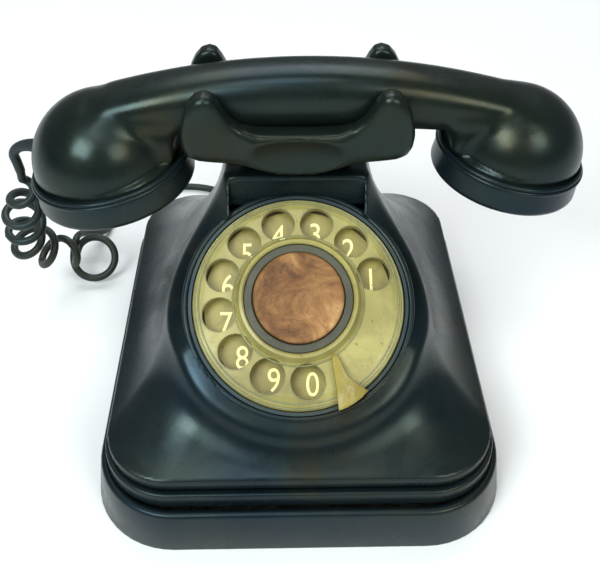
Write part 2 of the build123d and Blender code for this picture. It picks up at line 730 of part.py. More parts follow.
# ---------------------------------------------------------------- handset
def cap_frame(centre, tilt):
    """A plane through the cap's axis: x outwards from the axis, y up into the handset."""
    lean = radians(tilt)
    return Plane(origin=centre, x_dir=(cos(lean), 0, sin(lean)), z_dir=(0, -1, 0))


def face_plane(centre, tilt, height):
    """A plane square to the cap's axis, at a height above its lower face."""
    up = Vector(-sin(radians(tilt)), 0, cos(radians(tilt)))
    return Plane(origin=centre + up * height, x_dir=(0, 1, 0), z_dir=up)


def cap_axis(centre, tilt):
    return Axis(centre, Vector(-sin(radians(tilt)), 0, cos(radians(tilt))))


GLAND_R = 2.5                   # sleeve that leads the cord out of the mouthpiece's dome
GLAND_ROUTE = [Vector(-97.0, 12.0, 110.0), Vector(-113.0, 17.5, 107.5), Vector(-113.5, 18.5, 94.0)]
GLAND_OUT = GLAND_ROUTE[1] - GLAND_ROUTE[0]
RIM_H = 12.9                    # height of the moulding's rim above a cap's lower face
DOME_R = {"mouth": 27.6, "ear": 25.4}
DOME_OUT = {"mouth": -2.2, "ear": 2.1}      # the domes sit a little outside the caps' axes
ENDS = {"mouth": (MOUTH, CAP_TILT, MOUTH_R), "ear": (EAR, -CAP_TILT, EAR_R)}


def grip_section(x):
    """Section of the grip: it arches and thins from its middle towards both ends."""
    away = x - 4.0
    half_height = GRIP_R - 0.00072 * away**2
    plane = Plane(origin=(x, CRADLE_Y, GRIP_Z - 0.00125 * away**2), x_dir=(0, 1, 0), z_dir=(1, 0, 0))
    with BuildSketch(plane) as section:
        Ellipse(12.9, half_height)
    return section.sketch


with BuildPart() as handset_body:                     # grip and both domes, one moulding
    loft(sections=[grip_section(x) for x in (-74, -50, -24, 4, 32, 58, 86)])
    for end, (centre, tilt, radius) in ENDS.items():
        dome_at = face_plane(centre, tilt, RIM_H).origin + Vector(DOME_OUT[end], 0, 0)
        with Locations(dome_at):
            Sphere(DOME_R[end])
    for end, (centre, tilt, radius) in ENDS.items():
        with BuildSketch(face_plane(centre, tilt, RIM_H)):
            Circle(60)
        extrude(amount=-50, mode=Mode.SUBTRACT)
    for end, (centre, tilt, radius) in ENDS.items():
        with BuildSketch(face_plane(centre, tilt, RIM_H - 4)):    # threaded spigot
            Circle(radius - 3.7)
        extrude(amount=4)
        with BuildSketch(face_plane(centre, tilt, RIM_H - 4)):    # chamber over the capsule
            Circle(radius - 7.0)
        extrude(amount=13, mode=Mode.SUBTRACT)
    with BuildSketch(Plane(origin=GLAND_ROUTE[0], z_dir=GLAND_OUT)):
        Circle(GLAND_R)
    extrude(amount=20, mode=Mode.SUBTRACT)
write(handset_body, "handset_body")

for end, (centre, tilt, radius) in ENDS.items():
    with BuildPart() as cap:
        with BuildSketch(cap_frame(centre, tilt)):
            with BuildLine():
                Line((0, 0), (radius - 2.4, 0))
                ThreePointArc((radius - 2.4, 0), (radius - 0.7, 0.7), (radius, 2.4))
                Line((radius, 2.4), (radius - 0.6, 10.0))
                ThreePointArc((radius - 0.6, 10.0), (radius + 0.3, 10.8), (radius - 0.5, 11.6))
                ThreePointArc((radius - 0.5, 11.6), (radius - 0.5, 12.5), (radius - 1.6, CAP_H))
                Polyline((radius - 1.6, CAP_H), (radius - 2.6, 12.0), (radius - 3.5, 12.0))
                Polyline((radius - 3.5, 12.0), (radius - 3.5, 2.6), (0, 2.6), (0, 0))
            make_face()
        revolve(axis=cap_axis(centre, tilt))
        with BuildSketch(face_plane(centre, tilt, -1)):           # sound holes
            Circle(1.5)
            with PolarLocations(6.5, 6):
                Circle(1.5)
            with PolarLocations(13.0, 12):
                Circle(1.5)
        extrude(amount=5, mode=Mode.SUBTRACT)
    write(cap, f"{end}_cap")
    with BuildPart() as capsule:
        with BuildSketch(face_plane(centre, tilt, 2.9)):
            Circle(radius - 8.0)
        extrude(amount=8.0)
        with BuildSketch(face_plane(centre, tilt, 2.9)):
            Circle(radius - 4.2)
        extrude(amount=1.6)
    write(capsule, "transmitter" if end == "mouth" else "receiver")

with BuildPart() as cord_gland:
    with BuildLine() as bend:
        FilletPolyline(*GLAND_ROUTE, radius=8.0)
    with BuildSketch(Plane(origin=bend.line @ 0, z_dir=bend.line % 0)):
        Circle(GLAND_R)
    sweep(path=bend.line)
write(cord_gland, "cord_gland")

# ---------------------------------------------------------------- handset cord
curl_start = GLAND_ROUTE[-1] + (GLAND_ROUTE[-1] - GLAND_ROUTE[-2]).normalized() * GAP
curl_end, curl_end_run = Vector(-104, 65, 15), Vector(3.5, 11.0, -5.0)
CURL_ROUTE = [
    curl_start, Vector(-114, 19.5, 81), Vector(-118.5, 26, 65), Vector(-124, 35, 47), Vector(-121, 44, 30),
    curl_end - curl_end_run * 1.1, curl_end,
]
LEAD_ROUTE = [
    curl_end, curl_end + curl_end_run * 0.9, Vector(-100, 88, 4), Vector(-99, 101, 1.9), Vector(-94, 114, 1.9),
    Vector(-83, 125, 1.9), Vector(-68, 131.5, 1.9), Vector(-54, 131.5, 1.9), Vector(-41, 127, 1.9),
    Vector(-29.5, 119, 4), Vector(-21.5, 110.5, 8.5), Vector(-18.0, 102.5, 11), OUTLET + Vector(0, 4.0, 0),
]


def cord_radii(route):
    """Each corner's arc takes 0.45 of its shorter run."""
    radii = []
    for before, corner, after in zip(route, route[1:], route[2:]):
        first, second = corner - before, after - corner
        turn = radians(first.get_angle(second))
        radii.append(0.45 * min(first.length, second.length) / tan(turn / 2))
    return radii


for route, diameter, name in ((CURL_ROUTE, CURL_D, "cord_curl"), (LEAD_ROUTE, CORD_D, "cord_lead")):
    radii = cord_radii(route)
    with BuildPart() as cord:
        with BuildLine() as way:
            FilletPolyline(*route, radius=radii)
        with BuildSketch(Plane(origin=way.line @ 0, z_dir=way.line % 0)):
            Circle(diameter / 2)
        sweep(path=way.line)
    tube_length = way.wire().length
    share = cord.part.volume / (pi * diameter**2 / 4 * tube_length)
    print(name, "radii", [round(radius, 1) for radius in radii])
    print(name, "length", round(tube_length, 1), "volume over section times length", round(share, 4))
    write(cord, name)

with BuildPart() as cord_outlet:                      # grommet in the plinth's back
    with BuildSketch(Plane.XZ.offset(-OUTLET.Y - 4.0)):
        with Locations((OUTLET.X, OUTLET.Z)):
            Circle(2.6)
    extrude(amount=10.0)
    with BuildSketch(Plane.XZ.offset(-OUTLET.Y - 1.6)):
        with Locations((OUTLET.X, OUTLET.Z)):
            Circle(OUTLET_R + 1.6)
    extrude(amount=1.2)
    with BuildSketch(Plane.XZ.offset(-OUTLET.Y - 1.0)):
        with Locations((OUTLET.X, OUTLET.Z)):
            Circle(OUTLET_R - 0.05)
    extrude(amount=7.0)
write(cord_outlet, "cord_outlet")
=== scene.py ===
"""Looks of the rotary telephone: a worn, moulded body with soft blends, a yellowed dial, an arched handset
and a curly cord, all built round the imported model's frame. Outlines are worked out in millimetres, the cord
in metres, and all meshes are in metres.
"""

import math

import bmesh
import bpy
import numpy as np
from mathutils import Matrix, Vector


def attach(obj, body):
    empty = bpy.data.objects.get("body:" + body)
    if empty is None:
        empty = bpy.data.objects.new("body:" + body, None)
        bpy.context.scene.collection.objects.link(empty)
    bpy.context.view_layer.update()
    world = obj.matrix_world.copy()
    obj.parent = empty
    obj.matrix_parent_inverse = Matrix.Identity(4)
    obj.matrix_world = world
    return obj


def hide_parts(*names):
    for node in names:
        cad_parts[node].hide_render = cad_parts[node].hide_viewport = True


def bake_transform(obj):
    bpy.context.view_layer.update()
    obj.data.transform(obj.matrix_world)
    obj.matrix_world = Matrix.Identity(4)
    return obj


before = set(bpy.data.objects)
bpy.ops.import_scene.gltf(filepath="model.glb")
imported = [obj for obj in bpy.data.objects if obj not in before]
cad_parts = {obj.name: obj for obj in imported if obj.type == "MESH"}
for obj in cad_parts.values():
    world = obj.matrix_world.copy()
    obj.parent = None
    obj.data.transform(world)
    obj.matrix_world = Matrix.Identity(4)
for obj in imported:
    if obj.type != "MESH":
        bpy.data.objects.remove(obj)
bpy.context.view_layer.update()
MM = 0.001

# ---------------------------------------------------------------- the object's own sizes, as in the CAD model
WALL = 3.0
LIP_Z, MID_Z, PLINTH_Z = 31.0, 26.6, 20.0
PLINTH_FOOT, PLINTH_TOP = (157.0, 182.6, 32.0), (152.4, 182.0, 31.0)
MID_TIER, LIP_TIER = (147.6, 174.2, 27.0), (145.0, 169.6, 25.0)
BODY_Z = (31.0, 38.0, 52.0, 68.0, 86.0, 104.0)
BODY_HALF_WIDTH = (72.5, 63.0, 51.0, 41.0, 33.0, 28.0)
BODY_FRONT = (-84.8, -73.0, -56.0, -39.0, -20.0, -3.0)
BODY_BACK = (84.8, 74.0, 58.0, 44.0, 32.0, 25.0)
BODY_CORNER = (25.0, 24.0, 21.0, 17.0, 12.0, 8.0)
NECK_Z, NECK_Y = 104.0, 11.0

DIAL_CENTRE = np.array((0.0, -36.9, 73.0))
DIAL_TILT = math.radians(55.3)
DIAL_N = np.array((0.0, -math.cos(DIAL_TILT), math.sin(DIAL_TILT)))
DIAL_U = np.array((0.0, math.sin(DIAL_TILT), math.cos(DIAL_TILT)))
COLLAR_R, RECESS_R, BORE_R = 46.0, 41.8, 38.6
SEAT_T = -8.0
FIRST_HOLE, HOLE_PITCH, HOLE_RING_R = 18.4, 28.6, 30.1

CRADLE_Y, GRIP_Z, TROUGH_R = 7.0, 137.8, 14.0
GRIP_RZ, GRIP_RY, GRIP_MIDDLE = 12.7, 12.9, 4.0
MOUTH, MOUTH_R = np.array((-71.1, CRADLE_Y, 96.6)), 31.6
EAR, EAR_R = np.array((82.1, CRADLE_Y, 99.5)), 29.2
CAP_TILT = math.radians(9.6)
RIM_H = 12.9
DOME_R = {"mouth": 27.6, "ear": 25.4}
DOME_OUT = {"mouth": -2.2, "ear": 2.1}
HORN_FRONT, HORN_BACK = -16.5, 30.5
PANEL_HALF, PANEL_Y, PANEL_LOW = 26.5, -2.6, 92.0

# the cord's routes in metres: points of the CAD model's routes; the loose turn takes the place of the lead's
# first two
GLAND_ROUTE = [(-0.0970, 0.0120, 0.1100), (-0.1130, 0.0175, 0.1075), (-0.1135, 0.0185, 0.0940)]
CURL_ROUTE = [
    (-0.1135, 0.0185, 0.0937), (-0.1140, 0.0195, 0.0810), (-0.1185, 0.0260, 0.0650),
    (-0.1240, 0.0350, 0.0470), (-0.1210, 0.0440, 0.0300), (-0.10785, 0.0529, 0.0205),
    (-0.1040, 0.0650, 0.0150),
]
LEAD_ROUTE = [
    (-0.1000, 0.0880, 0.0040), (-0.0990, 0.1010, 0.0019), (-0.0940, 0.1140, 0.0019),
    (-0.0830, 0.1250, 0.0019), (-0.0680, 0.1315, 0.0019), (-0.0540, 0.1315, 0.0019),
    (-0.0410, 0.1270, 0.0019), (-0.0295, 0.1190, 0.0040), (-0.0215, 0.1105, 0.0085),
    (-0.0180, 0.1025, 0.0110), (-0.0180, 0.0950, 0.0110),
]
WIRE_D, SLEEVE_D = 0.0036, 0.0045

# the turns round the route: their first angle, pitch, and where they start, split and stop short
TURN_START, CURL_PITCH = 2.6, 0.0150
CURL_FROM, CURL_SPLIT, CURL_SHORT = 0.004, 0.045, 0.014
# the one loose turn that stands on the table, facing the viewer
RING_CENTRE, RING_R = np.array((-0.0995, 0.0585, 0.0122)), 0.0102
RING_RIGHT, RING_UP = np.array((0.9999, -0.0171, 0.0)), np.array((0.0088, 0.5478, 0.8366))
RING_FRONT = np.array((-0.0148, -0.8364, 0.5479))
RING_STEPS, RING_START, RING_SWEEP = 14, 150, 330
RING_BEHIND, RING_DRIFT = 0.0028, 0.0052
RING_EXIT = [(-0.1093, 0.0650, 0.0205), (-0.1075, 0.0755, 0.0150)]


# ---------------------------------------------------------------- solid shapes as distance fields
def smooth_min(a, b, blend):
    """Two solids joined with a fillet about as wide as the blend."""
    share = np.clip(0.5 + 0.5 * (b - a) / blend, 0, 1)
    return b + (a - b) * share - blend * share * (1 - share)


def smooth_max(a, b, blend):
    """What two solids have in common, with a rounded edge."""
    return -smooth_min(-a, -b, blend)


def rounded_rectangle(x, y, half_x, half_y, corner):
    qx = np.abs(x) - half_x + corner
    qy = np.abs(y) - half_y + corner
    return np.hypot(np.maximum(qx, 0), np.maximum(qy, 0)) + np.minimum(np.maximum(qx, qy), 0) - corner


def sphere(points, centre, radius):
    return np.linalg.norm(points - centre, axis=1) - radius


def polygon(x, y, outline):
    """Signed distance to a closed outline, negative inside."""
    best = np.full(len(x), 1e9)
    sign = np.ones(len(x))
    for (x0, y0), (x1, y1) in zip(outline, outline[1:] + outline[:1]):
        ex, ey = x1 - x0, y1 - y0
        share = np.clip(((x - x0) * ex + (y - y0) * ey) / (ex * ex + ey * ey), 0, 1)
        best = np.minimum(best, np.hypot(x - x0 - share * ex, y - y0 - share * ey))
        above, below = (y >= y0) & (y < y1), (y < y0) & (y >= y1)
        side = ex * (y - y0) - ey * (x - x0)
        sign = np.where((above & (side > 0)) | (below & (side < 0)), -sign, sign)
    return sign * best


def dial_coordinates(points):
    """Each point's x, height up the face and height along the dial's normal."""
    away = points - DIAL_CENTRE
    return away[:, 0], away @ DIAL_U, away @ DIAL_N


def surface_net(field, low, high, step):
    """Vertices and quads of a field's zero surface, one vertex in each crossed cell."""
    counts = np.ceil((np.array(high) - low) / step).astype(int) + 1
    axes = [low[i] + step * np.arange(counts[i]) for i in range(3)]
    grid = np.stack(np.meshgrid(*axes, indexing="ij"), -1)
    values = np.concatenate([field(slab.reshape(-1, 3)) for slab in grid]).reshape(counts)
    inside = values < 0
    cells = counts - 1
    total = np.zeros((*cells, 3))
    crossings = np.zeros(cells)
    quads = []
    for axis in range(3):
        other = [i for i in range(3) if i != axis]
        first = [slice(None)] * 3
        second = [slice(None)] * 3
        first[axis], second[axis] = slice(0, -1), slice(1, None)
        change = inside[tuple(first)] != inside[tuple(second)]
        where = np.argwhere(change)
        keep = np.all([(where[:, i] > 0) & (where[:, i] < cells[i]) for i in other], axis=0)
        where = where[keep]
        start = values[tuple(where.T)]
        ahead = where.copy()
        ahead[:, axis] += 1
        end = values[tuple(ahead.T)]
        spot = grid[tuple(where.T)].copy()
        spot[:, axis] += step * start / (start - end)
        corners = []
        for da, db in ((0, 0), (-1, 0), (-1, -1), (0, -1)):
            cell = where.copy()
            cell[:, other[0]] += da
            cell[:, other[1]] += db
            np.add.at(total, tuple(cell.T), spot)
            np.add.at(crossings, tuple(cell.T), 1)
            corners.append(np.ravel_multi_index(cell.T, cells))
        quad = np.stack(corners, 1)
        flip = (start < 0) == (axis != 1)
        quad[~flip] = quad[~flip][:, ::-1]
        quads.append(quad)
    used = np.flatnonzero(crossings.ravel())
    index = np.full(crossings.size, -1)
    index[used] = np.arange(len(used))
    vertices = total.reshape(-1, 3)[used] / crossings.ravel()[used, None]
    return vertices, index[np.concatenate(quads)]


def settle(field, vertices, quads, rounds=3):
    """Evens out the net and puts each vertex back on the field's surface."""
    reach = 0.02
    edges = np.concatenate([quads[:, [i, (i + 1) % 4]] for i in range(4)])
    degree = np.bincount(edges.ravel(), minlength=len(vertices))[:, None]
    for _ in range(rounds):
        near = np.zeros_like(vertices)
        np.add.at(near, edges[:, 0], vertices[edges[:, 1]])
        np.add.at(near, edges[:, 1], vertices[edges[:, 0]])
        vertices = 0.5 * vertices + 0.5 * near / degree
        for _ in range(2):
            value = field(vertices)
            slope = np.stack([
                field(vertices + reach * unit) - field(vertices - reach * unit) for unit in np.eye(3)
            ], 1) / (2 * reach)
            size = np.maximum((slope ** 2).sum(1), 0.05)
            vertices = vertices - np.clip(value / size, -1.5, 1.5)[:, None] * slope
    return vertices


def mesh_piece(name, vertices, faces, smooth=True):
    """A mesh object from vertices in millimetres."""
    mesh = bpy.data.meshes.new(name)
    mesh.from_pydata((np.asarray(vertices) * MM).tolist(), [], [list(map(int, face)) for face in faces])
    mesh.validate()
    piece = bpy.data.objects.new(name, mesh)
    bpy.context.scene.collection.objects.link(piece)
    mesh.polygons.foreach_set("use_smooth", [smooth] * len(mesh.polygons))
    mesh.update()
    return piece


def field_piece(name, field, low, high, step):
    """A mesh object of a field's zero surface inside a box."""
    vertices, quads = surface_net(field, low, high, step)
    return mesh_piece(name, settle(field, vertices, quads), quads)


def join(name, pieces):
    """One object from several meshes, without using the selection."""
    built = bmesh.new()
    for piece in pieces:
        piece.data.transform(piece.matrix_world)
        built.from_mesh(piece.data)
        bpy.data.objects.remove(piece)
    mesh = bpy.data.meshes.new(name)
    built.to_mesh(mesh)
    built.free()
    mesh.polygons.foreach_set("use_smooth", [True] * len(mesh.polygons))
    joined = bpy.data.objects.new(name, mesh)
    bpy.context.scene.collection.objects.link(joined)
    return joined


def finish_piece(piece, body, material, nodes=()):
    """Gives a piece its material and slot, the nodes it stands for and the body it moves with."""
    piece.data.materials.clear()
    piece.data.materials.append(material)
    if nodes:
        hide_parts(*nodes)
    if body:
        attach(piece, body)
    return piece


def turned(name, profile, axis_at, axis, across, steps=160):
    """A closed outline of (radius, height) points turned about an axis."""
    axis, across = np.array(axis), np.array(across)
    third = np.cross(axis, across)
    turns = np.arange(steps) * 2 * math.pi / steps
    outward = np.outer(np.cos(turns), across) + np.outer(np.sin(turns), third)
    axis_at = np.array(axis_at)
    vertices = np.concatenate([axis_at + height * axis + radius * outward for radius, height in profile])
    faces = []
    for level in range(len(profile)):
        a, b = level * steps, (level + 1) % len(profile) * steps
        faces += [(a + i, a + (i + 1) % steps, b + (i + 1) % steps, b + i) for i in range(steps)]
    return mesh_piece(name, vertices, faces)


def arc(centre_r, centre_h, radius, start, end, steps=6):
    """Points of an arc in a turned outline, angles in degrees."""
    turns = [math.radians(start + (end - start) * step / steps) for step in range(steps + 1)]
    return [(centre_r + radius * math.cos(turn), centre_h + radius * math.sin(turn)) for turn in turns]


def on_dial(x, y, height):
    """A point given on the dial's face and at a height over it."""
    return DIAL_CENTRE + np.array((x, 0, 0)) + DIAL_U * y + DIAL_N * height


def plate(name, outline, low, high, edge, placed):
    """A flat blade with rolled upper edges; placed(x, y, height) gives each point its place."""
    middle = np.mean(outline, axis=0)
    levels = [(low, 0.0), (high - edge, 0.0), (high - 0.4 * edge, 0.25 * edge)]
    levels += [(high, edge), (high + 0.1, 2.2 * edge)]
    count = len(outline)
    vertices = []
    for height, inward in levels:
        for x, y in outline:
            reach = math.hypot(x - middle[0], y - middle[1])
            share = 1 - inward / max(reach, 3 * edge)
            near_x = middle[0] + (x - middle[0]) * share
            near_y = middle[1] + (y - middle[1]) * share
            vertices.append(placed(near_x, near_y, height))
    faces = [tuple(range(count))[::-1], tuple(range((len(levels) - 1) * count, len(levels) * count))]
    for level in range(len(levels) - 1):
        a, b = level * count, (level + 1) * count
        faces += [(a + i, a + (i + 1) % count, b + (i + 1) % count, b + i) for i in range(count)]
    return mesh_piece(name, vertices, faces)


# ---------------------------------------------------------------- material tools
def new_material(name):
    material = bpy.data.materials.new(name)
    material.use_nodes = True
    return material, material.node_tree.nodes["Principled BSDF"]


def add(material, kind, **values):
    made = material.node_tree.nodes.new(kind)
    for key, value in values.items():
        if key in made.inputs:
            made.inputs[key].default_value = value
        else:
            setattr(made, key, value)
    return made


def link(material, output, socket):
    material.node_tree.links.new(output, socket)


def object_place(material, stretch=(1, 1, 1)):
    coordinate = add(material, "ShaderNodeTexCoord")
    mapping = add(material, "ShaderNodeMapping", Scale=stretch)
    link(material, coordinate.outputs["Object"], mapping.inputs["Vector"])
    return mapping.outputs["Vector"]


def noise(material, scale, detail=4.0, rough=0.55, twist=0.0, stretch=(1, 1, 1)):
    made = add(material, "ShaderNodeTexNoise", Scale=scale, Detail=detail, Roughness=rough, Distortion=twist)
    link(material, object_place(material, stretch), made.inputs["Vector"])
    return made.outputs["Fac"]


def ramp(material, value, stops):
    """Colour ramp: stops are (position, (r, g, b))."""
    made = add(material, "ShaderNodeValToRGB")
    elements = made.color_ramp.elements
    while len(elements) < len(stops):
        elements.new(0.5)
    for element, (position, colour) in zip(elements, stops):
        element.position = position
        element.color = (*colour, 1)
    link(material, value, made.inputs["Fac"])
    return made.outputs["Color"]


def span(material, value, low, high, to_low=0.0, to_high=1.0):
    """Maps a value's stretch from low to high onto another stretch."""
    made = add(material, "ShaderNodeMapRange")
    made.inputs["From Min"].default_value = low
    made.inputs["From Max"].default_value = high
    made.inputs["To Min"].default_value = to_low
    made.inputs["To Max"].default_value = to_high
    link(material, value, made.inputs["Value"])
    return made.outputs["Result"]


def mix(material, share, first, second):
    made = add(material, "ShaderNodeMix", data_type="RGBA")
    for value, socket in ((share, 0), (first, 6), (second, 7)):
        if isinstance(value, (tuple, float, int)):
            made.inputs[socket].default_value = (*value, 1) if isinstance(value, tuple) else value
        else:
            link(material, value, made.inputs[socket])
    return made.outputs[2]


def bump(material, shader, layers):
    """Bumps from (height, strength, distance) layers, one on another."""
    normal = None
    for height, strength, distance in layers:
        made = add(material, "ShaderNodeBump", Strength=strength, Distance=distance)
        link(material, height, made.inputs["Height"])
        if normal is not None:
            link(material, normal, made.inputs["Normal"])
        normal = made.outputs["Normal"]
    link(material, normal, shader.inputs["Normal"])


def moulding(name, dark, light, dirt, rough=(0.30, 0.46), scale=26.0):
    """Old moulded plastic: cloudy tone, rubbed patches, fine pits and hairline scratches."""
    material, shader = new_material(name)
    cloud = noise(material, scale, 5, 0.6, 0.4)
    tone = ramp(material, cloud, [(0.30, dark), (0.72, light)])
    stain = span(material, noise(material, 34, 6, 0.7, 1.2), 0.56, 0.78)
    tone = mix(material, stain, tone, dirt)
    speck = span(material, noise(material, 700, 3, 0.6), 0.66, 0.76, 0, 0.5)
    tone = mix(material, speck, tone, tuple(0.45 * c for c in dark))
    link(material, tone, shader.inputs["Base Color"])
    rub = noise(material, 42, 6, 0.65, 0.6)
    link(material, span(material, rub, 0.25, 0.75, *rough), shader.inputs["Roughness"])
    shader.inputs["Specular IOR Level"].default_value = 0.27
    sheen = ramp(material, noise(material, 17, 3, 0.5, 0.8), [
        (0.38, (0.50, 0.78, 1.0)), (0.52, (0.76, 1.0, 0.88)), (0.68, (1.0, 0.88, 0.50)),
    ])
    link(material, sheen, shader.inputs["Specular Tint"])
    bump(material, shader, [
        (noise(material, 150, 4, 0.5), 0.10, 0.0004),
        (noise(material, 1500, 3, 0.6), 0.10, 0.00012),
        (noise(material, 300, 2, 0.5, 0, (1, 9, 9)), 0.06, 0.0001),
    ])
    return material


def metal(name, colour, rough=0.32, stretch=(1, 1, 1), tarnish=(0.10, 0.08, 0.05)):
    """Dull metal: cloudy tone, tarnish spots and brushed roughness."""
    material, shader = new_material(name)
    cloud = noise(material, 90, 5, 0.6, 0.5)
    tone = ramp(material, cloud, [(0.35, tuple(0.75 * c for c in colour)), (0.7, colour)])
    spot = span(material, noise(material, 260, 6, 0.7), 0.62, 0.75, 0, 0.7)
    link(material, mix(material, spot, tone, tarnish), shader.inputs["Base Color"])
    brushed = noise(material, 500, 3, 0.5, 0, stretch)
    roughness = span(material, brushed, 0.2, 0.8, rough - 0.08, rough + 0.14)
    link(material, roughness, shader.inputs["Roughness"])
    shader.inputs["Metallic"].default_value = 1.0
    bump(material, shader, [(noise(material, 900, 2, 0.5, 0, stretch), 0.12, 0.0001)])
    return material


def old_plastic(name, dark, light, grime, rough=(0.30, 0.50), grime_from=0.52, seed=0.0):
    """Yellowed dial plastic: cloudy tone, grey grime in patches and small dark specks."""
    material, shader = new_material(name)
    tone = ramp(material, noise(material, 40, 5, 0.6, 0.6 + seed), [(0.30, dark), (0.66, light)])
    patch = span(material, noise(material, 55, 6, 0.7, 1.6 + seed), grime_from, 0.80, 0, 0.8)
    tone = mix(material, patch, tone, grime)
    speck = span(material, noise(material, 620, 2, 0.6), 0.67, 0.74, 0, 0.75)
    tone = mix(material, speck, tone, (0.10, 0.07, 0.02))
    link(material, tone, shader.inputs["Base Color"])
    rub = noise(material, 90, 4, 0.6)
    link(material, span(material, rub, 0.25, 0.75, *rough), shader.inputs["Roughness"])
    shader.inputs["Specular IOR Level"].default_value = 0.45
    shader.inputs["Subsurface Weight"].default_value = 0.15
    shader.inputs["Subsurface Radius"].default_value = (0.002, 0.002, 0.001)
    bump(material, shader, [(noise(material, 420, 4, 0.6), 0.10, 0.0001)])
    return material


def label_card():
    """The round card in the dial's middle: brown, clouded and stained."""
    material, shader = new_material("label_card")
    cloud = noise(material, 48, 8, 0.7, 1.1, (1.0, 1.0, 0.6))
    tone = ramp(material, cloud, [
        (0.28, (0.055, 0.026, 0.015)), (0.42, (0.15, 0.070, 0.026)), (0.54, (0.28, 0.145, 0.054)),
        (0.70, (0.48, 0.30, 0.13)),
    ])
    dark = span(material, noise(material, 95, 7, 0.75, 2.5), 0.55, 0.72, 0, 0.75)
    tone = mix(material, dark, tone, (0.035, 0.019, 0.018))
    grain = span(material, noise(material, 900, 3, 0.7), 0.55, 0.75, 0, 0.5)
    tone = mix(material, grain, tone, (0.19, 0.115, 0.045))
    link(material, tone, shader.inputs["Base Color"])
    shader.inputs["Roughness"].default_value = 0.62
    shader.inputs["Specular IOR Level"].default_value = 0.2
    bump(material, shader, [(cloud, 0.25, 0.0003), (noise(material, 800, 3, 0.6), 0.15, 0.0001)])
    return material


# each material's dark and light tones, its dirt, and then the range of its roughness
SHELL = moulding(
    "shell_moulding", (0.0028, 0.0062, 0.0080), (0.0060, 0.0110, 0.0135), (0.012, 0.013, 0.008), (0.20, 0.40)
)
HANDSET = moulding(
    "handset_moulding", (0.0026, 0.0054, 0.0048), (0.0064, 0.0104, 0.0088), (0.013, 0.012, 0.008),
    (0.20, 0.40),
)
CORD = moulding(
    "cord_rubber", (0.014, 0.019, 0.019), (0.026, 0.032, 0.030), (0.020, 0.019, 0.012), (0.34, 0.5), 60
)
FOOT = moulding(
    "foot_rubber", (0.012, 0.012, 0.012), (0.022, 0.022, 0.021), (0.03, 0.028, 0.024), (0.6, 0.8), 60
)
PHENOLIC = moulding("phenolic_block", (0.035, 0.016, 0.010), (0.060, 0.028, 0.016), (0.05, 0.04, 0.03))
WINDING = moulding(
    "winding_tape", (0.050, 0.075, 0.030), (0.085, 0.12, 0.05), (0.06, 0.05, 0.03), (0.5, 0.7), 200
)
# dark brown paint of the dial base; on the neck bushing the same dark tone is painted shade for the shadowed
# gap under the cradle
BROWN_PAINT_AND_SHADE = moulding(
    "dial_base_paint_and_painted_shade", (0.045, 0.030, 0.015), (0.085, 0.060, 0.030), (0.05, 0.035, 0.02), (0.4, 0.6)
)
FRAME_PAINT = moulding(
    "dial_frame_paint", (0.016, 0.024, 0.026), (0.035, 0.048, 0.050), (0.06, 0.055, 0.03)
)
WHEEL = old_plastic("wheel_plastic", (0.20, 0.178, 0.046), (0.36, 0.330, 0.108), (0.14, 0.13, 0.052))
RIM = old_plastic(
    "wheel_rim_plastic", (0.15, 0.155, 0.075), (0.24, 0.245, 0.11), (0.10, 0.10, 0.055), (0.2, 0.35)
)
NUMBERS = old_plastic(
    "number_plate_enamel", (0.18, 0.150, 0.032), (0.30, 0.260, 0.064), (0.13, 0.115, 0.030), seed=0.7
)
NUMERAL = old_plastic("numeral_paint", (0.84, 0.79, 0.32), (0.94, 0.88, 0.38), (0.66, 0.61, 0.24))
STOP = old_plastic(
    "stop_paint", (0.17, 0.13, 0.016), (0.28, 0.23, 0.045), (0.42, 0.40, 0.26), (0.6, 0.8), 0.56
)
RING = old_plastic(
    "ring_paint", (0.024, 0.028, 0.014), (0.050, 0.054, 0.028), (0.08, 0.075, 0.04), (0.4, 0.55)
)
LABEL = label_card()
STEEL = metal("plated_steel", (0.55, 0.54, 0.50))
SCREW = metal("screw_steel", (0.60, 0.59, 0.54), 0.28)
BRASS = metal("old_brass", (0.62, 0.44, 0.18), 0.30)
CAST = metal("cast_alloy", (0.50, 0.50, 0.50), 0.42)
BELL = metal("bell_nickel", (0.62, 0.60, 0.55), 0.22)
CAN = metal("drawn_can", (0.60, 0.61, 0.62), 0.30, (1, 1, 8))

MATERIALS = {
    SHELL: ["plinth", "housing", "mouth_cap", "ear_cap"],
    HANDSET: ["cradle", "handset_body"],
    CORD: ["cord_curl", "cord_lead", "cord_gland", "cord_outlet"],
    FOOT: ["rubber_feet"],
    STEEL: [
        "base_plate", "dial_bridge", "governor_cup", "governor_bracket", "hook_bracket", "ringer_frame",
        "bell_hammer", "hook_lever", "governor_shaft", "layshaft", "dial_shaft", "cradle_stem", "lever_pin",
        "gong_posts", "cradle_spring", "return_spring",
    ],
    SCREW: ["base_screws", "gong_screws", "terminal_screws"],
    BRASS: ["main_gear", "pinion", "worm_wheel", "governor_weights", "pulse_contacts", "hook_contacts"],
    # the neck bushing is not given brass: it takes the dark brown as painted shade, standing in for the
    # shadow under the cradle
    BROWN_PAINT_AND_SHADE: ["dial_base", "neck_bushing"],
    CAST: ["transmitter", "receiver"],
    BELL: ["gong_left", "gong_right"],
    CAN: ["capacitor"],
    PHENOLIC: ["terminal_block"],
    WINDING: ["ringer_coils", "induction_coil"],
    FRAME_PAINT: ["dial_bezel"],
    WHEEL: ["finger_wheel"],
    NUMBERS: ["number_plate"],
    LABEL: ["centre_label"],
    RING: ["centre_ring"],
    STOP: ["finger_stop"],
}
for material, names in MATERIALS.items():
    for node_name in names:
        node_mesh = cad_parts[node_name].data
        node_mesh.materials.clear()
        node_mesh.materials.append(material)


# ---------------------------------------------------------------- camera and light
FLOOR_HALF = 3000
OBJECT_MIDDLE = (0, 0, 0.08)


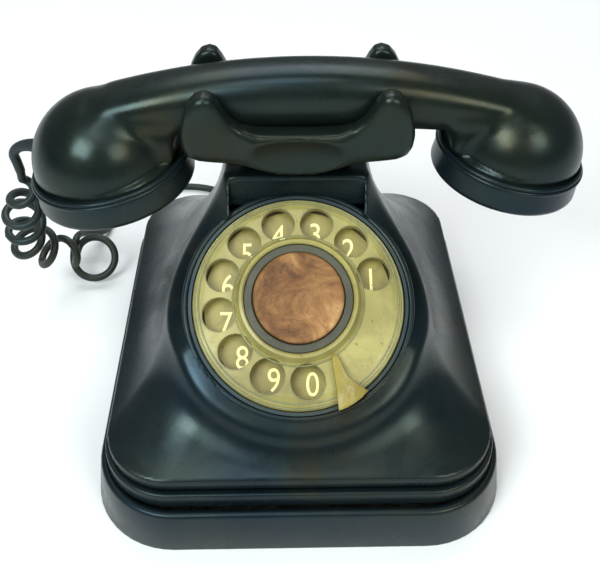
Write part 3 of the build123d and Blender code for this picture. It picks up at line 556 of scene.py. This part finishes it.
def place_camera():
    """The camera that the photograph was fitted with: its axes, its place and its lens."""
    right = Vector((0.99985270, -0.01714714, 0.00075087))
    up = Vector((0.00876646, 0.54780666, 0.83655903))
    back = right.cross(up)
    camera = bpy.data.objects.new("camera", bpy.data.cameras.new("camera"))
    camera.matrix_world = Matrix((
        (right.x, up.x, back.x, -6.273 * MM),
        (right.y, up.y, back.y, -285.112 * MM),
        (right.z, up.z, back.z, 309.839 * MM),
        (0, 0, 0, 1),
    ))
    camera.data.sensor_width = 36
    camera.data.lens = 53.91
    camera.data.shift_x = 0.01076
    camera.data.shift_y = -0.2659
    camera.data.clip_start = 0.01
    bpy.context.scene.collection.objects.link(camera)
    bpy.context.scene.camera = camera


def area_light(name, place, aim, size, power, colour=(1, 1, 1)):
    light = bpy.data.objects.new(name, bpy.data.lights.new(name, "AREA"))
    light.data.energy = power
    light.data.size = size
    light.data.color = colour
    light.location = place
    light.rotation_euler = (Vector(aim) - Vector(place)).to_track_quat("-Z", "Y").to_euler()
    bpy.context.scene.collection.objects.link(light)


def make_studio():
    """Even surroundings, a soft light over the telephone, one at each side, a wash behind, and the floor."""
    bpy.context.scene.view_settings.view_transform = "Standard"
    world = bpy.data.worlds.new("studio")
    world.use_nodes = True
    world.node_tree.nodes["Background"].inputs["Color"].default_value = (0.96, 0.98, 1.0, 1)
    world.node_tree.nodes["Background"].inputs["Strength"].default_value = 0.22
    bpy.context.scene.world = world
    area_light("key", (-0.10, -0.30, 1.05), OBJECT_MIDDLE, 0.36, 2.8)
    area_light("left_soft", (-0.50, -0.66, 0.82), OBJECT_MIDDLE, 0.46, 11.5, (0.94, 1.0, 1.0))
    area_light("right_soft", (0.52, -0.70, 0.76), OBJECT_MIDDLE, 0.44, 5.6, (1.0, 0.98, 0.90))
    area_light("back_sweep", (0.0, 1.3, 1.9), (0, 0.9, 0), 1.6, 34)
    corners = [(sx * FLOOR_HALF, sy * FLOOR_HALF, 0) for sx, sy in ((-1, -1), (1, -1), (1, 1), (-1, 1))]
    floor = mesh_piece("floor", corners, [(0, 1, 2, 3)])
    material, shader = new_material("pale_floor")
    tone = ramp(material, noise(material, 6, 3), [(0.3, (0.70, 0.725, 0.74)), (0.7, (0.73, 0.755, 0.77))])
    link(material, tone, shader.inputs["Base Color"])
    shader.inputs["Roughness"].default_value = 0.8
    shader.inputs["Specular IOR Level"].default_value = 0.1
    floor.data.materials.append(material)


place_camera()
make_studio()


# ---------------------------------------------------------------- handset cord
def nurbs(name, points, thickness=0.0, radii=None):
    """A smooth open curve with its control points in metres."""
    data = bpy.data.curves.new(name, "CURVE")
    data.dimensions = "3D"
    spline = data.splines.new("NURBS")
    spline.points.add(len(points) - 1)
    for index, (control, point) in enumerate(zip(spline.points, points)):
        control.co = (*[float(value) for value in point], 1)
        control.radius = radii[index] if radii is not None else 1.0
    spline.order_u = 3
    spline.use_endpoint_u = True
    spline.resolution_u = 8
    data.bevel_depth = thickness / 2
    data.bevel_resolution = 6
    data.use_fill_caps = True
    curve = bpy.data.objects.new(name, data)
    bpy.context.scene.collection.objects.link(curve)
    return curve


def line_of(points):
    """Points along the smooth line of a route, in metres."""
    curve = nurbs("route", points)
    mesh = bpy.data.meshes.new_from_object(curve)
    line = np.array([vertex.co for vertex in mesh.vertices])
    bpy.data.objects.remove(curve)
    bpy.data.meshes.remove(mesh)
    return line


def along(line):
    """The distance of each of a line's points from its first."""
    steps = np.linalg.norm(np.diff(line, axis=0), axis=1)
    return np.concatenate([[0], np.cumsum(steps)])


def helix(line, start, end, radius, pitch, per_turn=14):
    """Turns round a line from one distance along it to another; radius is a function of the distance."""
    distance = along(line)

    def place(at):
        return np.array([np.interp(at, distance, line[:, axis]) for axis in range(3)])

    count = int((end - start) / pitch * per_turn) + 1
    points = []
    side = np.array((1.0, 0.0, 0.0))
    for index in range(count):
        at = start + (end - start) * index / (count - 1)
        ahead, behind = place(at + 0.002), place(at - 0.002)
        run = (ahead - behind) / np.linalg.norm(ahead - behind)
        side = side - run * side.dot(run)
        side /= np.linalg.norm(side)
        other = np.cross(run, side)
        turn = 2 * math.pi * at / pitch + TURN_START
        points.append(place(at) + radius(at) * (side * math.cos(turn) + other * math.sin(turn)))
    return points


def curl_radius(at):
    """The turns open out from the sleeve's end, swell and shrink a little, and close towards the table."""
    swell = 0.0012 * math.sin(210 * at + 0.6) * min(1.0, at / 0.02)
    places = (0, CURL_FROM, 0.012, 0.05, 0.085, 0.1)
    return swell + float(np.interp(at, places, (0, 0, 0.0066, 0.0078, 0.0076, 0.0050)))


def loose_turn():
    """The single turn that stands on the table beside the case."""
    ring = []
    for step in range(RING_STEPS + 1):
        turn = math.radians(RING_START - RING_SWEEP * step / RING_STEPS)
        ring.append(RING_CENTRE + RING_R * (RING_RIGHT * math.cos(turn) + RING_UP * math.sin(turn))
                    + RING_FRONT * (-RING_BEHIND + RING_DRIFT * step / RING_STEPS))
    return ring


def make_table_cord(line):
    """The lower turns, the loose turn and the lead round the case's back; thinner in its first turns."""
    lower = helix(line, CURL_SPLIT - CURL_PITCH, along(line)[-1] - CURL_SHORT, curl_radius, CURL_PITCH)
    points = lower + loose_turn() + RING_EXIT + LEAD_ROUTE
    thin = [0.93] * 15
    wire = nurbs("table_cord", points, WIRE_D, thin + [1.0] * (len(points) - len(thin)))
    finish_piece(wire, "case", CORD, ["cord_curl", "cord_lead"])


def make_hanging_cord(line):
    """The upper turns, a tube that stretches between the handset and the rest of the cord."""
    upper = [GLAND_ROUTE[2]] + helix(line, CURL_FROM, CURL_SPLIT, curl_radius, CURL_PITCH)
    guide = line_of(upper)
    tube = nurbs("tube", upper, WIRE_D)
    mesh = bpy.data.meshes.new_from_object(tube)
    bpy.data.objects.remove(tube)
    hanging = bpy.data.objects.new("hanging_cord", mesh)
    bpy.context.scene.collection.objects.link(hanging)
    finish_piece(hanging, None, CORD, ["cord_curl"])
    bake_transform(hanging)


def make_sleeve():
    """The smooth sleeve that leads the cord out of the mouthpiece's dome."""
    points = [
        GLAND_ROUTE[0], (-0.1045, 0.0148, 0.1096), (-0.1112, 0.0170, 0.1078), (-0.1152, 0.0183, 0.1035),
        (-0.1142, 0.0186, 0.0985), GLAND_ROUTE[2],
    ]
    sleeve = nurbs("cord_sleeve", points, SLEEVE_D, [1.6, 1.25, 0.98, 0.94, 0.92, 0.88])
    finish_piece(sleeve, "handset", CORD, ["cord_gland"])


curl_line = line_of(CURL_ROUTE)
make_table_cord(curl_line)
make_hanging_cord(curl_line)
make_sleeve()


# ---------------------------------------------------------------- body
NECK_EDGE = 1.6
# the collar under the dial: its flat top, how far it stands out at a level, its cone and its soft blends
COLLAR_TOP, COLLAR_OUT, COLLAR_LEVEL, COLLAR_CONE = -4.9, 1.4, -2, 0.10
COLLAR_EDGE, COLLAR_BLEND = 3.6, 15.0
# the neck's flanks lean back from the panel's edges and flare downwards
FLANK_ACROSS, FLANK_BACK, FLANK_FLARE, FLANK_EDGE = 0.8, 0.6, 0.022, 3.0
# the wall is thicker below this level, and it reaches its full thickness this much lower
THICK_BELOW, THICK_OVER, THICK_MORE = 42.0, 10.0, 3.0
# the upright panel above the dial: middle and half thickness in y, middle and half height in z
PANEL_WALL_Y, PANEL_WALL_HALF_Y, PANEL_WALL_Z, PANEL_WALL_HALF_Z = 1.2, 3.2, 97.0, 6.9
# the depth of the dial's bore under its face, and the stem's bore with the level it reaches down to
BORE_LOW, STEM_BORE_R, STEM_BORE_LOW = -45, 7.1, 95


def body_curve(values):
    """A smooth curve through the body's sections."""
    return np.polynomial.Polynomial.fit(BODY_Z, values, 5)


half_width, front, back, corner_r = map(body_curve, (BODY_HALF_WIDTH, BODY_FRONT, BODY_BACK, BODY_CORNER))


def body_outer(points):
    """The waisted body, its neck and the collar that holds the dial, as one soft form."""
    x, y, z = points.T
    level = np.clip(z, LIP_Z, NECK_Z)
    half, fore, aft = half_width(level), front(level), back(level)
    body = 0.75 * rounded_rectangle(x, y - (fore + aft) / 2, half, (aft - fore) / 2, corner_r(level))
    body = smooth_max(body, z - NECK_Z, NECK_EDGE)
    across, up, out = dial_coordinates(points)
    cone = np.hypot(across, up) - COLLAR_R - COLLAR_OUT - COLLAR_CONE * (COLLAR_LEVEL - out)
    collar = smooth_max(cone, out - COLLAR_TOP, COLLAR_EDGE)
    whole = smooth_min(body, collar, COLLAR_BLEND)
    flare = FLANK_FLARE * np.clip(NECK_Z - z, 0, 60) ** 2
    flank = FLANK_ACROSS * (np.abs(x) - PANEL_HALF - 1.6) - FLANK_BACK * (y - PANEL_Y) - flare
    return smooth_max(whole, flank, FLANK_EDGE)


def housing_field(points):
    """The body as a hollow shell with the panel above the dial, the dial's recess and the two bores."""
    x, y, z = points.T
    solid = body_outer(points)
    thickness = WALL + THICK_MORE * np.clip((THICK_BELOW - z) / THICK_OVER, 0, 1)
    shell = smooth_max(solid, -(solid + thickness), 0.6)
    panel_wall = np.maximum(np.abs(x) - PANEL_HALF - 0.6, np.abs(y - PANEL_WALL_Y) - PANEL_WALL_HALF_Y)
    panel_wall = np.maximum(panel_wall, np.abs(z - PANEL_WALL_Z) - PANEL_WALL_HALF_Z)
    shell = np.minimum(shell, panel_wall)
    window = np.maximum(np.abs(x) - PANEL_HALF, y - (PANEL_Y + 1.0))
    shell = smooth_max(shell, -np.maximum(window, PANEL_LOW - z), 0.9)
    across, up, out = dial_coordinates(points)
    radius = np.hypot(across, up)
    recess = np.maximum(radius - RECESS_R - 0.5, SEAT_T - out)
    bore = np.maximum(radius - BORE_R, BORE_LOW - out)
    shell = smooth_max(shell, -np.minimum(recess, bore), 0.5)
    stem = np.hypot(x, y - NECK_Y) - STEM_BORE_R
    shell = smooth_max(shell, -np.maximum(stem, STEM_BORE_LOW - z), 0.6)
    return smooth_max(shell, LIP_Z - 1.2 - z, 0.4)


def rectangle_ring(width, depth, radius, z, steps=12):
    """Points round a rounded rectangle at one height."""
    ring = []
    for quarter, (sx, sy) in enumerate(((1, 1), (-1, 1), (-1, -1), (1, -1))):
        for step in range(steps + 1):
            turn = math.radians(90 * quarter + 90 * step / steps)
            ring.append((sx * (width / 2 - radius) + radius * math.cos(turn),
                         sy * (depth / 2 - radius) + radius * math.sin(turn), z))
    return ring


def tier(name, sections):
    """A closed loft through rounded rectangles (width, depth, radius, z): the outside, then the inside."""
    rings = [rectangle_ring(*section) for section in sections]
    count = len(rings[0])
    vertices = [point for ring in rings for point in ring]
    faces = []
    for level in range(len(rings)):
        a, b = level * count, (level + 1) % len(rings) * count
        faces += [(a + i, a + (i + 1) % count, b + (i + 1) % count, b + i) for i in range(count)]
    return mesh_piece(name, vertices, faces)


def inset(size, by, z):
    """A tier's rounded rectangle drawn in by a distance, at one height."""
    width, depth, radius = size
    return (width - 2 * by, depth - 2 * by, radius - by, z)


def rounded_tier(name, low, high, z_low, z_high, edge, dip=0.0):
    """A hollow tier with a rolled upper edge and a slightly rolled lower one; its top may dip inwards."""
    sections = [inset(low, 0.5, z_low), inset(low, 0.12, z_low + 0.15), inset(low, 0, z_low + 0.5)]
    for step in range(6):
        turn = math.radians(90 * step / 5)
        sections.append(inset(high, edge * (1 - math.cos(turn)), z_high - edge + edge * math.sin(turn)))
    sections.append(inset(high, WALL, z_high - dip))
    sections.append(inset(low, WALL, z_low))
    return tier(name, sections)


def make_collar():
    """The crisp ring round the dial's recess."""
    profile = [(RECESS_R, SEAT_T), (RECESS_R, -3.2)]
    profile += arc(RECESS_R + 0.9, -3.2, 0.9, 180, 90)
    profile += arc(RECESS_R + 1.3, -3.3, 1.0, 90, 0)
    profile += [(RECESS_R + 2.3, SEAT_T - 1.0)]
    return turned("collar", profile, DIAL_CENTRE, DIAL_N, (1, 0, 0))


def make_body():
    """The body with its lip and middle tiers and the dial's ring as one piece, and the plinth as another."""
    low, high = np.array((-75.0, -88.0, LIP_Z - 3)), np.array((75.0, 88.0, 107.0))
    pieces = [
        field_piece("organic", housing_field, low, high, 1.0),
        rounded_tier("mid", MID_TIER, MID_TIER, PLINTH_Z, MID_Z - 0.6, 0.9),
        rounded_tier("lip", LIP_TIER, LIP_TIER, MID_Z, LIP_Z, 0.9, 1.6),
        make_collar(),
    ]
    finish_piece(join("housing_shell", pieces), "case", SHELL, ["housing"])
    plinth = rounded_tier("plinth_ring", PLINTH_FOOT, PLINTH_TOP, 0.0, PLINTH_Z - 0.5, 1.6)
    finish_piece(plinth, "case", SHELL, ["plinth"])


make_body()


# ---------------------------------------------------------------- cradle
HORN_EDGE, TROUGH_EDGE = 4.6, 2.2
# the block under the bridge that sits on the stem: half its width and depth, its corners and its height
BOSS_PLAN, BOSS_Z, BOSS_HALF = (23, 12, 6), 112.6, 7.4
# the underside rises from its middle to the sides, and slants up towards the front
UNDERSIDE_Z, UNDERSIDE_DROP, UNDERSIDE_WIDE, UNDERSIDE_SLANT = 120.5, 7.5, 15.0, (0.5, 0.86)
# hollows between the middle and each horn, and the lens-shaped dimple in the middle
VALLEY_DEEP, VALLEY_X, VALLEY_WIDE = 2.6, 23.0, 7.0
DIMPLE_STRETCH, DIMPLE_R, DIMPLE_MIDDLE = (1.6, 1, 1), 26.0, np.array((0, HORN_FRONT - 21.5, 119.5))


def cradle_outline():
    """Front view of the cradle, the right half and its mirror image."""
    right = [
        (11, 112.4), (20, 114.6), (29, 117.2), (37, 119.4), (40.6, 122.2), (42.4, 126), (42.9, 130),
        (42.6, 134), (40.9, 140.5), (39.0, 144.3), (36.6, 147), (33.5, 148), (30.6, 147), (28.6, 144),
        (26.4, 139.5), (24, 136), (20.5, 133.0), (15, 131.2), (7, 130.7),
    ]
    return right + [(-x, z) for x, z in reversed(right)]


OUTLINE = cradle_outline()


def cradle_field(points):
    """Horns, bridge and boss: the outline with rolled edges, cut by the grip's trough and the hollows."""
    x, y, z = points.T
    flat = polygon(x, z, OUTLINE) + HORN_EDGE
    deep = np.abs(y - (HORN_FRONT + HORN_BACK) / 2) - (HORN_BACK - HORN_FRONT) / 2 + HORN_EDGE
    solid = np.hypot(np.maximum(flat, 0), np.maximum(deep, 0))
    solid = solid + np.minimum(np.maximum(flat, deep), 0) - HORN_EDGE
    boss = np.maximum(rounded_rectangle(x, y - NECK_Y, *BOSS_PLAN), np.abs(z - BOSS_Z) - BOSS_HALF)
    solid = smooth_min(solid, boss, 5.0)
    trough = np.hypot(y - CRADLE_Y, np.minimum(z - GRIP_Z, 0)) - TROUGH_R
    solid = smooth_max(solid, -trough, TROUGH_EDGE)
    underside = UNDERSIDE_Z - UNDERSIDE_DROP * np.exp(-(x / UNDERSIDE_WIDE) ** 2)
    slant = -UNDERSIDE_SLANT[0] * (y - HORN_FRONT) - UNDERSIDE_SLANT[1] * (z - underside)
    solid = smooth_max(solid, slant, 5.0)
    valley = HORN_FRONT + VALLEY_DEEP * np.exp(-((np.abs(x) - VALLEY_X) / VALLEY_WIDE) ** 2)
    solid = smooth_max(solid, valley - y, 3.0)
    return smooth_max(solid, -sphere(points / DIMPLE_STRETCH, DIMPLE_MIDDLE, DIMPLE_R), 0.8)


def make_cradle():
    """The cradle that the handset rests in."""
    low, high = np.array((-45.0, -19.0, 103.0)), np.array((45.0, 33.0, 151.0))
    cradle = field_piece("cradle_rest", cradle_field, low, high, 1.0)
    finish_piece(cradle, "cradle", HANDSET, ["cradle"])


make_cradle()


# ---------------------------------------------------------------- handset
# the grip arches down and thins towards its ends; its section is a little squarer than an ellipse
GRIP_ARCH, GRIP_THIN, GRIP_SQUARE = 0.00125, 0.00072, 2.5
HANDSET_MIDDLE, GRIP_HALF_LENGTH, GRIP_END = 6, 84, 8.0
# the flat-sided fin that joins each end of the grip to its dome and cap
FIN_WIDE, FIN_X, FIN_HALF_X, FIN_Z, FIN_HALF_Z, FIN_EDGE = 0.97, 66.5, 14.0, 117.0, 13.0, 4.0
FIN_BLEND, DOME_BLEND, SKIRT_GAP = 5.0, 2.6, 3.4


def grip_field(points):
    """The arched grip with a fin under each end."""
    x, y, z = points.T
    away = x - GRIP_MIDDLE
    half_height = GRIP_RZ - GRIP_THIN * away ** 2
    middle = GRIP_Z - GRIP_ARCH * away ** 2
    across, up_down = np.abs(y - CRADLE_Y) / GRIP_RY, np.abs(z - middle) / half_height
    section = (across ** GRIP_SQUARE + up_down ** GRIP_SQUARE) ** (1 / GRIP_SQUARE)
    grip = (section - 1) * half_height * 0.9
    beyond = np.abs(x - HANDSET_MIDDLE)
    grip = smooth_max(grip, beyond - GRIP_HALF_LENGTH, GRIP_END)
    fin = smooth_max(np.abs(y - CRADLE_Y) - FIN_WIDE * GRIP_RY, np.abs(beyond - FIN_X) - FIN_HALF_X, FIN_EDGE)
    fin = smooth_max(fin, np.abs(z - FIN_Z) - FIN_HALF_Z, FIN_EDGE)
    return smooth_min(grip, fin, FIN_BLEND)


def handset_field(points):
    """The grip and two domes, each cut level with its cap and closed by a skirt in the cap's opening."""
    solid = grip_field(points)
    for end, centre, cap_r, lean in (("mouth", MOUTH, MOUTH_R, CAP_TILT), ("ear", EAR, EAR_R, -CAP_TILT)):
        up = np.array((-math.sin(lean), 0, math.cos(lean)))
        dome_at = centre + up * RIM_H + np.array((DOME_OUT[end], 0, 0))
        solid = smooth_min(solid, sphere(points, dome_at, DOME_R[end]), DOME_BLEND)
        height = (points - centre) @ up - RIM_H
        beside = points[:, 0] < 0 if end == "mouth" else points[:, 0] >= 0
        solid = np.where(beside, smooth_max(solid, -height, 1.0), solid)
        radius = np.linalg.norm(points - centre - np.outer(height + RIM_H, up), axis=1)
        skirt = np.maximum(radius - (cap_r - SKIRT_GAP), np.abs(height + 1.2) - 1.8)
        solid = smooth_min(solid, skirt, 1.0)
    return solid


def make_handset():
    """The handset's moulding; its caps stay as in the CAD model."""
    low, high = np.array((-106.0, -24.0, 98.0)), np.array((114.0, 38.0, 154.0))
    body = field_piece("handset_moulding", handset_field, low, high, 1.2)
    finish_piece(body, "handset", HANDSET, ["handset_body"])


make_handset()


# ---------------------------------------------------------------- dial
NUMBER_RING_R, NUMBER_SHIFT, NUMBER_TURN = 29.0, (0.9, -2.0), 2.0
NUMBER_T = -5.4
DIGIT_SIZE, DIGIT_NARROW, DIGIT_THICK = 12.4, 0.86, 0.12
HOLE_RIM_R = 6.62
# the stop's blade and foot: heights over the dial's face, and the foot's arc beside the wheel
BLADE_LOW, BLADE_HIGH, FOOT_LOW, FOOT_HIGH = 1.4, 2.9, -2.6, 1.6
FOOT_INNER_R, FOOT_OUTER_R, FOOT_ANGLES = 40.7, 41.6, (-69, -62, -55)


def digit_mesh(digit):
    """A flat numeral in Blender's own font, in metres."""
    text = bpy.data.curves.new("digit", "FONT")
    text.body = str(digit)
    text.size = DIGIT_SIZE * MM
    text.align_x = "CENTER"
    text.align_y = "CENTER"
    text.extrude = DIGIT_THICK * MM
    holder = bpy.data.objects.new("digit_text", text)
    bpy.context.scene.collection.objects.link(holder)
    bpy.context.view_layer.update()
    mesh = bpy.data.meshes.new_from_object(holder)
    bpy.data.objects.remove(holder)
    return mesh


def make_numerals():
    """1 to 9 and 0, upright on the number plate, seen through the finger holes."""
    pieces = []
    for index in range(10):
        mesh = digit_mesh((index + 1) % 10)
        turn = math.radians(FIRST_HOLE + HOLE_PITCH * index + NUMBER_TURN)
        x = NUMBER_RING_R * math.cos(turn) + NUMBER_SHIFT[0]
        y = NUMBER_RING_R * math.sin(turn) + NUMBER_SHIFT[1]
        place = Vector(on_dial(x, y, NUMBER_T + 0.1)) * MM
        mesh.transform(Matrix((
            (DIGIT_NARROW, 0, 0, place.x),
            (0, DIAL_U[1], DIAL_N[1], place.y),
            (0, DIAL_U[2], DIAL_N[2], place.z),
            (0, 0, 0, 1),
        )))
        piece = bpy.data.objects.new(f"digit_{index}", mesh)
        bpy.context.scene.collection.objects.link(piece)
        pieces.append(piece)
    numerals = join("numerals", pieces)
    numerals.data.polygons.foreach_set("use_smooth", [False] * len(numerals.data.polygons))
    finish_piece(numerals, "case", NUMERAL, [])


def bead(centre, radius, height, thick, steps=160):
    """A thin round ring that lies on the dial's face."""
    return turned("bead", arc(radius, height, thick, 0, 330, 11), centre, DIAL_N, (1, 0, 0), steps)


def make_wheel_rims():
    """The rolled edges of the finger holes and the raised lines near the wheel's edge."""
    pieces = []
    for digit in range(10):
        turn = math.radians(FIRST_HOLE + digit * HOLE_PITCH)
        hole = on_dial(HOLE_RING_R * math.cos(turn), HOLE_RING_R * math.sin(turn), 0.0)
        pieces.append(bead(hole, HOLE_RIM_R, 0.0, 0.24, 48))
    for radius, height, thick in ((37.7, -0.55, 0.34), (39.3, -1.75, 0.42), (24.6, 0.95, 0.30)):
        pieces.append(bead(DIAL_CENTRE, radius, height, thick))
    finish_piece(join("wheel_rims", pieces), "dial", RIM, [])


def make_stop():
    """The finger stop: a curved, pointed blade over the wheel and the foot that holds it beside the wheel."""
    outline = [
        (24.6, -33.6), (21.2, -31.6), (18.4, -29.2), (16.6, -26.8), (15.4, -24.2), (14.4, -21.6),
        (13.4, -20.6), (12.2, -20.8), (11.7, -22.2), (12.2, -26.0), (12.8, -31.0), (13.4, -36.0),
        (13.8, -40.3), (16.8, -39.3), (19.6, -37.8), (22.3, -35.9),
    ]
    blade = plate("finger_blade", outline[::-1], BLADE_LOW, BLADE_HIGH, 0.5, on_dial)
    turns = [math.radians(angle) for angle in FOOT_ANGLES]
    inner = [(FOOT_INNER_R * math.cos(turn), FOOT_INNER_R * math.sin(turn)) for turn in turns]
    outer = [(FOOT_OUTER_R * math.cos(turn), FOOT_OUTER_R * math.sin(turn)) for turn in turns]
    foot = plate("foot", outer + inner[::-1], FOOT_LOW, FOOT_HIGH, 0.1, on_dial)
    finish_piece(join("stop_blade", [blade, foot]), "case", STOP, ["finger_stop"])


make_numerals()
make_wheel_rims()
make_stop()
